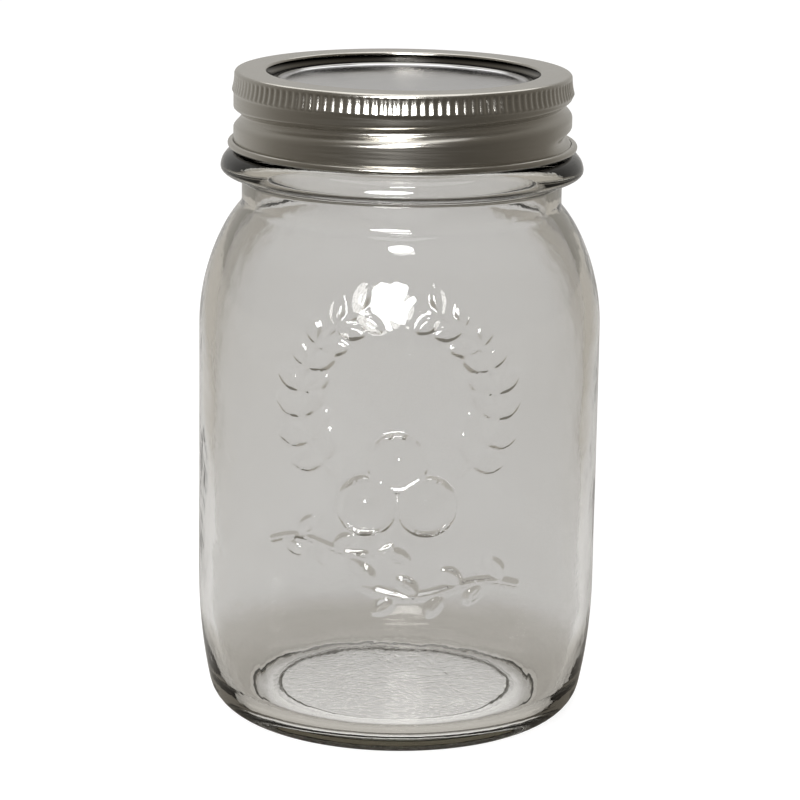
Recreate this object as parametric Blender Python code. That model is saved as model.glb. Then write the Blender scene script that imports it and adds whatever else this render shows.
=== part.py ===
"""Half-litre canning jar with a two-piece screw lid, at its real size.

Units are metres, +Z is up, and the jar stands on z = 0 with its axis on the Z axis.
A jar like this is four loose pieces:
  glass_jar     one pressed and blown piece, with its screw thread, support ring and push-up base
  lid_disc      a stamped tinplate disc with a countersunk centre panel
  sealing_ring  the compound bonded under the disc's rim
  screw_band    a tinplate ring with a rolled thread, a grip skirt and a curled lower lip
"""

import math

import bmesh
import bpy

MM = 0.001
SEGMENTS = 48  # facets round every piece
GAP = 0.3 * MM  # kept between pieces that rest on each other
FLANGE_GAP = 0.5 * MM  # the shadow gap between the band's flange and the disc

# Glass, outside. The body tapers in two arcs to the heel and in two arcs to the neck.
BODY_RADIUS = 43.8 * MM
LOWER_ARC = 112.0 * MM
LOWER_TURN = 12.0
HEEL_ARC = 7.85 * MM
SHOULDER_START_Z = 86.6 * MM
SHOULDER_ARC = 45.4 * MM
SHOULDER_TURN = 28.3
NECK_TURN = 41.0
NECK_RADIUS = 34.7 * MM
NECK_FILLET = 2.0 * MM
RING_RADIUS = 39.3 * MM
RING_Z = 121.2 * MM
RING_BELOW = 1.8 * MM
RING_ABOVE = 4.0 * MM
RING_ROOT = 0.3 * MM
FINISH_RADIUS = 33.7 * MM
CROWN_OUTER_ARC = 1.2 * MM
CROWN_INNER_ARC = 0.9 * MM

# Glass, base and inside.
FOOT_WIDTH = 1.4 * MM
PUNT_SHELF_RADIUS = 26.6 * MM
PUNT_SHELF_Z = 1.1 * MM
PUNT_STEP = 1.1 * MM
PUNT_RISE = 0.4 * MM
WALL = 3.2 * MM
BORE_RADIUS = 30.3 * MM
BORE_START_Z = 129.0 * MM
FLOOR_Z = 4.2 * MM
FLOOR_RISE = 0.7 * MM
INNER_LOWER_ARC = 75.0 * MM
INNER_LOWER_TURN = 14.0
INNER_CORNER_ARC = 6.5 * MM

# Screw thread of a 70 mm regular-mouth jar: 70 mm over the crests, four turns to the inch.
PITCH = 6.35 * MM
CREST_RADIUS = 35.0 * MM
RIDGE_ROOT_HALF = 1.7 * MM
RIDGE_CREST_HALF = 0.55 * MM
RIDGE_BURIED = 1.2 * MM
RIDGE_ROOT_DEPTH = 0.3 * MM
RIDGE_TOP_Z = 136.8 * MM
RIDGE_BOTTOM_Z = 127.9 * MM
RIDGE_OVER_GROOVE = 2.4 * MM
RIDGE_FADE = math.radians(26)

# Screw band, given by the middle of its sheet. Its grip skirt flares from its top to its bottom.
SHEET = 0.3 * MM
BAND_TOP_Z = 142.0 * MM
BAND_RADIUS = 36.4 * MM
OPENING_RADIUS = 29.5 * MM
OPENING_ARC = 0.35 * MM
SKIRT_TOP_RADIUS = 36.25 * MM
SKIRT_RADIUS = 36.75 * MM
SKIRT_ARC = 0.7 * MM
SKIRT_BOTTOM_Z = 137.8 * MM
SKIRT_TAPER = 0.7 * MM
LIP_ARC = 0.62 * MM
LIP_Z = 126.2 * MM
LIP_TURN = 215.0
GROOVE_DEPTH = 1.7 * MM
GROOVE_ABOVE = 1.8 * MM  # reach of the groove's steep side, above its deepest line
GROOVE_BELOW = 2.7 * MM  # and of its gentle side, below it
GROOVE_Z = 135.4 * MM  # height of the groove where it crosses +X
GROOVE_START = math.radians(40)
GROOVE_END = math.radians(-395)
GROOVE_FADE = math.radians(30)
GROOVE_ROWS = 11

# Lid disc, given by the middle of its sheet, and its sealing compound.
DISC_SHEET = 0.25 * MM
DISC_RADIUS = 34.2 * MM
DISC_CURL = 0.5 * MM
STEP_WIDTH = 0.6 * MM
LEDGE_OUTER = 29.85 * MM
LEDGE_INNER = 27.0 * MM
LEDGE_DROP = 1.2 * MM
PANEL_RADIUS = 26.6 * MM
PANEL_DROP = 1.6 * MM
SEAL_INNER = 30.9 * MM
SEAL_OUTER = 33.5 * MM
SEAL_THICKNESS = 0.7 * MM
SEAL_CORNER = 0.2 * MM

# The stack under the band's flange, each piece a gap below the last.
DISC_RIM_Z = BAND_TOP_Z - SHEET - FLANGE_GAP - DISC_SHEET / 2
SEAL_TOP_Z = DISC_RIM_Z - DISC_SHEET / 2 - GAP
CROWN_Z = SEAL_TOP_Z - SEAL_THICKNESS - GAP

FULL_TURN = 2 * math.pi
SHARP_ANGLE = math.radians(40)


def clear_scene():
    for obj in list(bpy.data.objects):
        bpy.data.objects.remove(obj)


def arc(centre_r, centre_z, radius, start, end, steps, radius_z=None):
    """Points (r, z) of an arc in degrees, or of an ellipse's arc where radius_z is given."""
    points = []
    for i in range(steps + 1):
        angle = math.radians(start + (end - start) * i / steps)
        r = centre_r + radius * math.cos(angle)
        z = centre_z + (radius_z or radius) * math.sin(angle)
        points.append((r, z))
    return points


def turned_surface(outline, radius_at=None, ring=False):
    """A bmesh of the outline turned about Z. Points with r = 0 become poles.

    radius_at(r, z, angle) may change a point's radius round the turn.
    ring=True joins the outline's last point to its first.
    """
    bm = bmesh.new()
    rows = []
    for r, z in outline:
        if r == 0:
            rows.append([bm.verts.new((0, 0, z))] * SEGMENTS)
            continue
        row = []
        for i in range(SEGMENTS):
            angle = FULL_TURN * i / SEGMENTS
            radius = radius_at(r, z, angle) if radius_at else r
            row.append(bm.verts.new((radius * math.cos(angle), radius * math.sin(angle), z)))
        rows.append(row)
    pairs = list(zip(rows, rows[1:]))
    if ring:
        pairs.append((rows[-1], rows[0]))
    for low, high in pairs:
        for i in range(SEGMENTS):
            j = (i + 1) % SEGMENTS
            corners = [low[i], low[j], high[j], high[i]]
            bm.faces.new(list(dict.fromkeys(corners)))
    return bm


def to_object(bm, name, material):
    mesh = bpy.data.meshes.new(name)
    bm.to_mesh(mesh)
    bm.free()
    mesh.shade_smooth()
    mesh.set_sharp_from_angle(angle=SHARP_ANGLE)
    obj = bpy.data.objects.new(name, mesh)
    bpy.context.scene.collection.objects.link(obj)
    if material:
        mesh.materials.append(material)
    return obj


def make_material(name, colour, roughness, metallic, transmission=0.0):
    material = bpy.data.materials.new(name)
    material.use_nodes = True
    shader = material.node_tree.nodes["Principled BSDF"]
    shader.inputs["Base Color"].default_value = (*colour, 1)
    shader.inputs["Roughness"].default_value = roughness
    shader.inputs["Metallic"].default_value = metallic
    shader.inputs["Transmission Weight"].default_value = transmission
    return material


def thicken(obj, thickness):
    """Gives a sheet its thickness, half to each side."""
    solidify = obj.modifiers.new("sheet", "SOLIDIFY")
    solidify.thickness = thickness
    solidify.offset = 0
    solidify.use_even_offset = True


def heel_points(wall_radius, lower_arc, lower_turn, corner_arc, corner_z, steps):
    """From a flat bottom, round the corner and up the lower arc to a vertical wall."""
    turn = math.radians(lower_turn)
    end_r = wall_radius - lower_arc * (1 - math.cos(turn))
    centre_r = end_r - corner_arc * math.cos(turn)
    centre_z = corner_z + corner_arc
    top_z = centre_z + (lower_arc - corner_arc) * math.sin(turn)
    corner = arc(centre_r, centre_z, corner_arc, -90, -lower_turn, steps)
    lower = arc(wall_radius - lower_arc, top_z, lower_arc, -lower_turn, 0, steps // 2 + 1)
    return corner + lower[1:]


def shoulder_points(wall):
    """Up the shoulder and round the fillet into the neck, moved in by wall."""
    first, second = math.radians(SHOULDER_TURN), math.radians(NECK_TURN)
    neck_r = NECK_RADIUS + NECK_FILLET * (1 - math.cos(second))
    drop = BODY_RADIUS - neck_r - SHOULDER_ARC * (1 - math.cos(first))
    upper_arc = drop / (math.cos(first) - math.cos(second))
    centre_r = BODY_RADIUS - SHOULDER_ARC
    upper_r = centre_r + (SHOULDER_ARC - upper_arc) * math.cos(first)
    upper_z = SHOULDER_START_Z + (SHOULDER_ARC - upper_arc) * math.sin(first)
    fillet_z = upper_z + (upper_arc + NECK_FILLET) * math.sin(second)
    points = arc(centre_r, SHOULDER_START_Z, SHOULDER_ARC - wall, 0, SHOULDER_TURN, 4)
    points += arc(upper_r, upper_z, upper_arc - wall, SHOULDER_TURN, NECK_TURN, 2)[1:]
    fillet_r = NECK_RADIUS + NECK_FILLET
    points += arc(fillet_r, fillet_z, NECK_FILLET + wall, 180 + NECK_TURN, 180, 2)[1:]
    return points


def base_points(foot_inner):
    """The push-up underneath, from the axis out to the foot that the jar stands on."""
    panel_r = PUNT_SHELF_RADIUS - PUNT_STEP
    panel_z = PUNT_SHELF_Z + PUNT_STEP
    inner_shelf = (PUNT_SHELF_RADIUS, PUNT_SHELF_Z)
    rim_width = 2 * PUNT_SHELF_Z
    rim = arc(foot_inner - rim_width, 0, rim_width, 90, 0, 3, radius_z=PUNT_SHELF_Z)
    return [(0, panel_z + PUNT_RISE), (panel_r / 2, panel_z + 0.75 * PUNT_RISE),
            (panel_r, panel_z), inner_shelf] + rim


def jar_outline():
    """The jar's whole section, from the axis under the base round to the axis on the floor."""
    heel = heel_points(BODY_RADIUS, LOWER_ARC, LOWER_TURN, HEEL_ARC, 0, 4)
    outside = base_points(heel[0][0] - FOOT_WIDTH) + heel + shoulder_points(0)
    ring_r = NECK_RADIUS + RING_ROOT
    ring_reach = RING_RADIUS - ring_r
    outside.append((NECK_RADIUS, RING_Z - RING_BELOW))
    outside += arc(ring_r, RING_Z, ring_reach, -90, 0, 3, radius_z=RING_BELOW)
    outside += arc(ring_r, RING_Z, ring_reach, 0, 90, 4, radius_z=RING_ABOVE)[1:]
    outside.append((FINISH_RADIUS, RING_Z + RING_ABOVE + RING_ROOT))
    crown = arc(FINISH_RADIUS - CROWN_OUTER_ARC, CROWN_Z - CROWN_OUTER_ARC, CROWN_OUTER_ARC, 0, 90, 3)
    crown += arc(BORE_RADIUS + CROWN_INNER_ARC, CROWN_Z - CROWN_INNER_ARC, CROWN_INNER_ARC, 90, 180, 2)
    inside = heel_points(BODY_RADIUS - WALL, INNER_LOWER_ARC, INNER_LOWER_TURN, INNER_CORNER_ARC, FLOOR_Z, 4)
    inside += shoulder_points(WALL)
    inside.append((BORE_RADIUS, BORE_START_Z))
    floor = [(inside[0][0] / 2, FLOOR_Z + 0.75 * FLOOR_RISE), (0, FLOOR_Z + FLOOR_RISE)]
    return outside + crown + inside[::-1] + floor


def ridge_height(angle):
    """Height of the jar's thread at an angle from +X, counted on over whole turns."""
    return GROOVE_Z - PITCH + RIDGE_OVER_GROOVE + PITCH * angle / FULL_TURN


def fade(value, start, end, length):
    """0 outside start to end, rising smoothly to 1 over length at both ends."""
    share = max(0.0, min(1.0, (value - start) / length, (end - value) / length))
    return share * share * (3 - 2 * share)


def make_thread_ridge():
    """The helical ridge, with its root well inside the finish wall, as a helper for a union."""
    zero = ridge_height(0)
    start = (RIDGE_BOTTOM_Z - zero) / PITCH * FULL_TURN
    end = (RIDGE_TOP_Z - zero) / PITCH * FULL_TURN
    steps = round(SEGMENTS * (end - start) / FULL_TURN)
    buried_r = FINISH_RADIUS - RIDGE_BURIED
    root_r = FINISH_RADIUS - RIDGE_ROOT_DEPTH
    bm = bmesh.new()
    rings = []
    for i in range(steps + 1):
        angle = start + (end - start) * i / steps
        z = ridge_height(angle)
        crest = root_r + (CREST_RADIUS - root_r) * fade(angle, start, end, RIDGE_FADE)
        section = [(buried_r, -RIDGE_ROOT_HALF), (root_r, -RIDGE_ROOT_HALF),
                   (crest, -RIDGE_CREST_HALF), (crest, RIDGE_CREST_HALF),
                   (root_r, RIDGE_ROOT_HALF), (buried_r, RIDGE_ROOT_HALF)]
        rings.append([bm.verts.new((r * math.cos(angle), r * math.sin(angle), z + dz))
                      for r, dz in section])
    for low, high in zip(rings, rings[1:]):
        for i in range(len(low)):
            j = (i + 1) % len(low)
            bm.faces.new([low[i], low[j], high[j], high[i]])
    bm.faces.new(rings[0][::-1])
    bm.faces.new(rings[-1])
    bmesh.ops.recalc_face_normals(bm, faces=bm.faces)
    ridge = to_object(bm, "thread_ridge", None)
    ridge.hide_render = True
    ridge.display_type = "WIRE"
    return ridge


def make_glass_jar():
    glass = make_material("glass", (0.87, 0.87, 0.85), 0.03, 0.0, transmission=1.0)
    jar = to_object(turned_surface(jar_outline()), "glass_jar", glass)
    union = jar.modifiers.new("thread", "BOOLEAN")
    union.operation = "UNION"
    union.solver = "EXACT"
    union.object = make_thread_ridge()
    return jar


def groove_cut(z, angle):
    """How far the band's wall is rolled in, towards the axis, by its helical groove."""
    turns = (z - GROOVE_Z) / PITCH - angle / FULL_TURN
    nearest = round(turns)
    offset = (turns - nearest) * PITCH
    away = abs(offset) / (GROOVE_ABOVE if offset > 0 else GROOVE_BELOW)
    if away >= 1:
        return 0.0
    along = fade(angle + nearest * FULL_TURN, GROOVE_END, GROOVE_START, GROOVE_FADE)
    return GROOVE_DEPTH * along * math.cos(away * math.pi / 2) ** 2


def band_outline():
    """Middle of the band's sheet: opening edge, flange, grip skirt, threaded wall, curled lip."""
    top_z = BAND_TOP_Z - SHEET / 2
    opening = arc(OPENING_RADIUS + OPENING_ARC + SHEET / 2, top_z - OPENING_ARC, OPENING_ARC, 180, 90, 2)
    corner = arc(SKIRT_TOP_RADIUS - SKIRT_ARC, top_z - SKIRT_ARC, SKIRT_ARC, 90, 0, 3)
    wall_top = SKIRT_BOTTOM_Z - SKIRT_TAPER
    wall_rows = [(BAND_RADIUS, wall_top + (LIP_Z + SHEET - wall_top) * i / GROOVE_ROWS)
                 for i in range(GROOVE_ROWS + 1)]
    lip = arc(BAND_RADIUS + LIP_ARC, LIP_Z, LIP_ARC, 180, 180 + LIP_TURN, 5)
    return opening + corner + [(SKIRT_RADIUS, SKIRT_BOTTOM_Z)] + wall_rows + lip


def make_screw_band():
    tinplate = make_material("band_tinplate", (0.6, 0.58, 0.54), 0.3, 1.0)

    def rolled(r, z, angle):
        return r - groove_cut(z, angle) if r == BAND_RADIUS else r

    surface = turned_surface(band_outline(), rolled)
    bmesh.ops.reverse_faces(surface, faces=surface.faces)
    band = to_object(surface, "screw_band", tinplate)
    thicken(band, SHEET)
    return band


def make_lid_disc():
    """Flat centre panel, two steps up to the rim, and an edge curled down outside the seal."""
    tinplate = make_material("disc_tinplate", (0.72, 0.71, 0.69), 0.22, 1.0)
    ledge_z = DISC_RIM_Z - LEDGE_DROP
    panel_z = DISC_RIM_Z - PANEL_DROP
    curl_centre = (DISC_RADIUS - DISC_CURL, DISC_RIM_Z - DISC_CURL)
    outline = [(0, panel_z), (PANEL_RADIUS, panel_z), (LEDGE_INNER, ledge_z), (LEDGE_OUTER, ledge_z),
               (LEDGE_OUTER + STEP_WIDTH, DISC_RIM_Z)]
    outline += arc(*curl_centre, DISC_CURL, 90, 0, 3)
    outline.append((DISC_RADIUS, DISC_RIM_Z - 2 * DISC_CURL))
    surface = turned_surface(outline)
    bmesh.ops.reverse_faces(surface, faces=surface.faces)
    disc = to_object(surface, "lid_disc", tinplate)
    thicken(disc, DISC_SHEET)
    return disc


def make_sealing_ring():
    compound = make_material("sealing_compound", (0.55, 0.53, 0.5), 0.6, 0.0)
    top_z = SEAL_TOP_Z
    low_z = top_z - SEAL_THICKNESS
    outline = [(SEAL_INNER, top_z), (SEAL_INNER, low_z + SEAL_CORNER), (SEAL_INNER + SEAL_CORNER, low_z),
               (SEAL_OUTER - SEAL_CORNER, low_z), (SEAL_OUTER, low_z + SEAL_CORNER), (SEAL_OUTER, top_z)]
    return to_object(turned_surface(outline, ring=True), "sealing_ring", compound)


def main():
    clear_scene()
    make_glass_jar()
    make_lid_disc()
    make_sealing_ring()
    make_screw_band()


main()
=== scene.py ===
"""Looks for the canning jar: fine glass, tinplate and sealing-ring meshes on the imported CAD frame.

Everything is in metres in the CAD's own frame: the jar's axis is +Z and its decorated side faces -Y.
"""

import math

import bmesh
import bpy
import numpy as np
from mathutils import Matrix, Vector


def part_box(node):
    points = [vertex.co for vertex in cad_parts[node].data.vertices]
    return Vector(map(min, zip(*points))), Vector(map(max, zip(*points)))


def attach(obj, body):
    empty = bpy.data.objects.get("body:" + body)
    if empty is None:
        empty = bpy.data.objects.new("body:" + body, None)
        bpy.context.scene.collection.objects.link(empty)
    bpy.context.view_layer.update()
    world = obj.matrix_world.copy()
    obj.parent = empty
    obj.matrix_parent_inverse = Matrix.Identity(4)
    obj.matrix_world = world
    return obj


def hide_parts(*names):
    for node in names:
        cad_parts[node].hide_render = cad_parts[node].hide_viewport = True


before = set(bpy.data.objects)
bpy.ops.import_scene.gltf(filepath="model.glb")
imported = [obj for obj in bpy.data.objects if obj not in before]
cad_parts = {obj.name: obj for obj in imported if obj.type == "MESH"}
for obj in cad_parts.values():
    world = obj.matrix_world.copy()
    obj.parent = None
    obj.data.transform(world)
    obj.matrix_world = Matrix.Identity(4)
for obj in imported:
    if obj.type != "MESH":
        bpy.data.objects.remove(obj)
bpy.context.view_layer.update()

MM = 0.001
FULL_TURN = 2 * math.pi
FRONT = -math.pi / 2
SHARP_ANGLE = math.radians(50)

JAR_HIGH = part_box("glass_jar")[1]
BAND_LOW, BAND_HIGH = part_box("screw_band")
DISC_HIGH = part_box("lid_disc")[1]
SEAL_LOW, SEAL_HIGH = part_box("sealing_ring")

# Glass, outside. The body's radius and the crown's height are the CAD node's.
BODY_RADIUS = JAR_HIGH.x
CROWN_Z = JAR_HIGH.z
LOWER_ARC = 112.0 * MM
LOWER_TURN = 12.0
HEEL_ARC = 7.85 * MM
SHOULDER_START_Z = 86.6 * MM
SHOULDER_ARC = 45.4 * MM
SHOULDER_TURN = 28.3
NECK_TURN = 41.0
NECK_RADIUS = 34.7 * MM
NECK_FILLET = 2.0 * MM
RING_RADIUS = 39.3 * MM
RING_Z = 121.2 * MM
RING_BELOW = 1.8 * MM
RING_ABOVE = 4.0 * MM
RING_ROOT = 0.3 * MM
FINISH_RADIUS = 33.7 * MM
CROWN_OUTER_ARC = 1.2 * MM
CROWN_INNER_ARC = 0.9 * MM
FOOT_WIDTH = 1.4 * MM
PUNT_SHELF_RADIUS = 26.6 * MM
PUNT_SHELF_Z = 1.1 * MM
PUNT_STEP = 1.1 * MM
PUNT_RISE = 0.4 * MM

# Glass, inside.
WALL = 3.2 * MM
BORE_RADIUS = 30.3 * MM
BORE_START_Z = 129.0 * MM
FLOOR_Z = 4.2 * MM
FLOOR_RISE = 0.7 * MM
INNER_LOWER_ARC = 75.0 * MM
INNER_LOWER_TURN = 14.0
INNER_CORNER_ARC = 6.5 * MM

# Screw thread on the glass.
PITCH = 6.35 * MM
CREST_RADIUS = 35.0 * MM
RIDGE_ROOT_HALF = 1.7 * MM
RIDGE_FLANK = 0.62
RIDGE_TOP_Z = 136.8 * MM
RIDGE_BOTTOM_Z = 127.9 * MM
GROOVE_Z = 135.4 * MM
RIDGE_OVER_GROOVE = 2.4 * MM
RIDGE_FADE = math.radians(26)

# Mould seams, and the wavy hand of blown glass. Each wave is its share of the whole, its lobes round the
# jar, its climb in radians for each metre up, and how far it follows the surface's phase.
SEAM_HEIGHT = 0.08 * MM
SEAM_WIDTH = 0.35 * MM
OUTER_WAVE = 0.035 * MM
OUTER_PHASE = 0.4
INNER_WAVE = 0.045 * MM
INNER_PHASE = 2.1
WAVES = [(1.0, 3, 5.49 / BODY_RADIUS, 1.0), (0.7, 7, -150.0, 1.7), (0.5, 13, 260.0, 2.3)]
WAVE_SWELL = 95.0
OUTER_WAVE_FADE = (8 * MM, 10 * MM)
INNER_WAVE_START = FLOOR_Z + 2 * MM
INNER_WAVE_FADE = 12 * MM

# The faint ripples of pressed glass round the relief.
RIPPLE = 0.065 * MM
RIPPLE_LENGTH = 6.5 * MM
RIPPLE_LOW = 55 * MM
RIPPLE_FADE = (18 * MM, 6 * MM)
RIPPLE_SIDE_FADE = 0.15

# Moulded relief on the front: a plain leafy wreath, three berries and two leafy sprigs.
# Its fine mesh covers this zone, and the rest of the glass has longer steps.
RELIEF_LOW = 31 * MM
RELIEF_HIGH = 106 * MM
RELIEF_HALF_ANGLE = math.radians(42)
RELIEF_STEP = 0.45 * MM
COARSE_STEP = 1.3 * MM
COARSE_ANGLE = math.radians(4.5)
WREATH_CENTRE_Z = 79 * MM
WREATH_HALF_WIDTH = 21 * MM
WREATH_HALF_HEIGHT = 20 * MM
WREATH_OPENING = 38.0
WREATH_TOP_OPENING = WREATH_OPENING / 2
STEM_HEIGHT = 0.35 * MM
STROKE_WIDTH = 0.6 * MM
LEAF_PAIRS = 8
LEAF_LENGTH = 7.4 * MM
LEAF_WIDTH = 3.3 * MM
LEAF_HEIGHT = 0.95 * MM
LEAF_FIRST = 0.6
LEAF_SHRINK = 0.25
LEAF_REACH = 0.58
LEAF_TURN = 48
LEAF_TURN_CHANGE = 7
BERRY_RADIUS = 6.2 * MM
BERRY_HEIGHT = 1.3 * MM
BERRY_PLACES = [(-1.02, -0.35), (1.02, -0.35), (0, 1.15)]
SPRIGS = [((-28 * MM, 47 * MM), (-1 * MM, 48 * MM)), ((27 * MM, 38 * MM), (-6 * MM, 39 * MM))]
SPRIG_HEIGHT = 0.95 * MM
SPRIG_RISE = 1.6 * MM
SPRIG_STEM = 0.55
SPRIG_LEAVES = 7
SPRIG_FIRST = 0.7
SPRIG_LEAF = 5.2 * MM
SPRIG_LEAF_WIDTH = 0.45 * SPRIG_LEAF
SPRIG_LEAF_REACH = 0.62 * SPRIG_LEAF
SPRIG_LEAF_TURN = math.radians(50)

# Screw band, by the middle of its sheet.
SHEET = 0.3 * MM
BAND_RADIUS = 36.4 * MM
OPENING_RADIUS = 29.5 * MM
OPENING_ARC = 0.35 * MM
SKIRT_TOP_RADIUS = 36.25 * MM
SKIRT_RADIUS = 36.75 * MM
SKIRT_ARC = 0.7 * MM
SKIRT_BOTTOM_Z = 137.8 * MM
SKIRT_STEPS = 5
SKIRT_TAPER = 0.7 * MM
LIP_ARC = 0.62 * MM
LIP_Z = BAND_LOW.z + LIP_ARC + SHEET / 2
LIP_TURN = 300.0
GROOVE_DEPTH = 1.7 * MM
GROOVE_ABOVE = 1.8 * MM
GROOVE_BELOW = 2.7 * MM
GROOVE_START = math.radians(40)
GROOVE_END = math.radians(-395)
GROOVE_FADE = math.radians(30)
GROOVE_LOW = LIP_Z + 0.2 * MM
GROOVE_LOW_FADE = 0.8 * MM
GROOVE_HIGH_FADE = 0.5 * MM
RIBS = 128
RIB_COLUMNS = 5
RIB_DEPTH = 0.28 * MM
RIB_TOP_Z = 141.35 * MM
RIB_BOTTOM_Z = 137.5 * MM
RIB_END = 0.5 * MM
RIB_WEAR = 0.7
RIB_WEAR_ANGLE = math.radians(38)
BAND_STEP = 0.33 * MM

# Lid disc and sealing ring, the disc by the middle of its sheet.
DISC_SHEET = 0.25 * MM
DISC_RADIUS = DISC_HIGH.x - DISC_SHEET / 2
DISC_RIM_Z = DISC_HIGH.z - DISC_SHEET / 2
DISC_CURL = 0.5 * MM
DISC_START = 0.4 * MM
STEP_WIDTH = 0.6 * MM
LEDGE_OUTER = 29.85 * MM
LEDGE_INNER = 27.0 * MM
LEDGE_DROP = 1.2 * MM
PANEL_RADIUS = 26.6 * MM
PANEL_DROP = 1.6 * MM
PANEL_STEP = 1.5 * MM
DISC_STEP = 0.3 * MM
DISC_BEAD_HEIGHT = 0.12 * MM
DISC_BEAD_HALF = 0.55 * MM
SEAL_INNER = 30.9 * MM
SEAL_CORNER = 0.2 * MM

# Glass material: tints, absorption, a rippled skin, and the push-up's own grain. A bump is a strength and a
# distance, and a grain's edge is where it starts and where it is full.
GLASS_TINTS = ((0.732, 0.728, 0.724), (0.762, 0.758, 0.752))
GLASS_TINT_SCALE = 22
GLASS_IOR = 1.51
ABSORB_COLOR = (0.62, 0.597, 0.52)
ABSORB_DENSITY = 36.0
SKIN_SCALE = 120
SKIN_ROUGHNESS = (0.0, 0.02)
SKIN_BUMP = (0.6, 0.12 * MM)
PUNT_GRAIN_SCALE = 900
PUNT_ROUGHNESS = (0.16, 0.4)
PUNT_GRAIN_EDGE = (PUNT_SHELF_RADIUS + 1.0 * MM, PUNT_SHELF_RADIUS + 0.3 * MM)
PUNT_GRAIN_TOP = (FLOOR_Z - 0.3 * MM, FLOOR_Z - 0.8 * MM)

# Tinplate and sealing compound. The disc keeps a share of its colour at each radius, as painted shade: less
# past the panel.
BAND_TONES = ((0.54, 0.52, 0.475), (0.6, 0.58, 0.535))
BAND_ROUGHNESS = (0.17, 0.26)
BAND_STREAK = 30
DISC_TONES = ((0.615, 0.615, 0.63), (0.675, 0.675, 0.69))
DISC_ROUGHNESS = (0.12, 0.2)
DISC_STREAK = 1
# Painted shade: the disc's steps darker, and its rim under the band's flange near black.
DISC_SHADE_SHARES = [(0.0, 1.0), (PANEL_RADIUS, 1.0), (LEDGE_INNER, 0.42), (LEDGE_OUTER + 0.05 * MM, 0.42),
               (LEDGE_OUTER + 0.3 * MM, 0.04), (DISC_RADIUS, 0.04)]
SHADE_WARMTH = (1.0, 0.94, 0.78)
CLOUD_SCALE = 60
STREAK_SCALE = 90
STREAK_BUMP = (0.1, 0.03 * MM)
SEAL_TONES = ((0.42, 0.39, 0.35), (0.5, 0.47, 0.43))
SEAL_GRAIN_SCALE = 700
SEAL_ROUGHNESS = (0.5, 0.7)
SEAL_BUMP = (0.3, 0.05 * MM)

# Most of a noise texture's values lie between these two.
NOISE_LOW, NOISE_HIGH = 0.3, 0.7

# Camera: a long lens in front of the jar and above it, tilted down and rolled a little.
CAMERA_DISTANCE = 690.0 * MM
CAMERA_HEIGHT = 238.0 * MM
CAMERA_PITCH = 13.231
CAMERA_ROLL = 0.902
CAMERA_LENS = 145.08
CAMERA_SENSOR = 36
CAMERA_SHIFT = (0.0014, -0.0375)

# Softboxes: azimuth from -Y and elevation in degrees, distance and two sizes in metres, and power in watts.
SOFTBOXES = {
    "key_softbox": ((-8, 21), 1.6, (0.8, 0.7), 26),
    "small_softbox": ((0, 56), 1.5, (0.35, 0.2), 4),
    "overhead": ((0, 88), 2.2, (2.0, 2.0), 12),
    "back_softbox": ((180, 55), 1.6, (2.0, 1.2), 7),
}

# Floor, as the camera sees it: a matt grey that also glows, so that it comes out near white.
FLOOR_HALF = 6.0
FLOOR_GLOW = 0.88
FLOOR_COLOR = 0.25
FLOOR_ROUGHNESS = 0.9

# Floor, as bent into view by glass. SHADE_TONE replaces it far from the jar to the sides and in front
# (SWEEP_EDGE), and partly in a ring round the foot (between the two FOOT_SHADE radii). It glows more under
# the push-up (CAUSTIC_EDGE).
SHADE_TONE = (0.68, 0.645, 0.58)
SWEEP_EDGE = (0.1, 0.25)
FOOT_SHADE_INNER = (0.028, 0.034)
FOOT_SHADE_OUTER = (0.09, 0.06)
FOOT_SHADE = 0.7
CAUSTIC_EDGE = (0.032, 0.026)
CAUSTIC_GLOW = 0.85

# Studio tones from the camera's side (0) round to behind the jar (1): the world, and the floor as mirrored
# by metal. Glass bends in BACKDROP_TONE in place of the world.
BRIGHT_SIDE = (-0.17, 0.98, 0.0)
ROOM_TONES = [(0.0, (0.065, 0.058, 0.048)), (0.62, (0.2, 0.182, 0.155)), (1.0, (0.58, 0.573, 0.555))]
FLOOR_TONES = [(0.0, (0.055, 0.049, 0.04)), (0.62, (0.17, 0.152, 0.125)), (1.0, (0.62, 0.61, 0.59))]
BACKDROP_TONE = (0.33, 0.315, 0.28)


# ---------------------------------------------------------------- outlines

def arc(centre_r, centre_z, radius, start, end, steps, radius_z=None):
    """Points (r, z) of an arc in degrees, or of an ellipse's arc where radius_z is given."""
    points = []
    for i in range(steps + 1):
        angle = math.radians(start + (end - start) * i / steps)
        z = centre_z + (radius_z or radius) * math.sin(angle)
        points.append((centre_r + radius * math.cos(angle), z))
    return points


def dome(radius, edge_z, rise, steps):
    """Points (r, z) of a shallow dome, from beside the axis out to its edge."""
    shares = [i / steps for i in range(1, steps + 1)]
    return [(radius * share, edge_z + rise * (1 - share ** 2)) for share in shares]


def heel_points(wall_radius, lower_arc, lower_turn, corner_arc, corner_z, corner_steps):
    """From a flat bottom, round the corner and up the lower arc to a vertical wall."""
    turn = math.radians(lower_turn)
    end_r = wall_radius - lower_arc * (1 - math.cos(turn))
    centre_r = end_r - corner_arc * math.cos(turn)
    centre_z = corner_z + corner_arc
    top_z = centre_z + (lower_arc - corner_arc) * math.sin(turn)
    corner = arc(centre_r, centre_z, corner_arc, -90, -lower_turn, steps=corner_steps)
    return corner + arc(wall_radius - lower_arc, top_z, lower_arc, -lower_turn, 0, steps=16)[1:]


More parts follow.
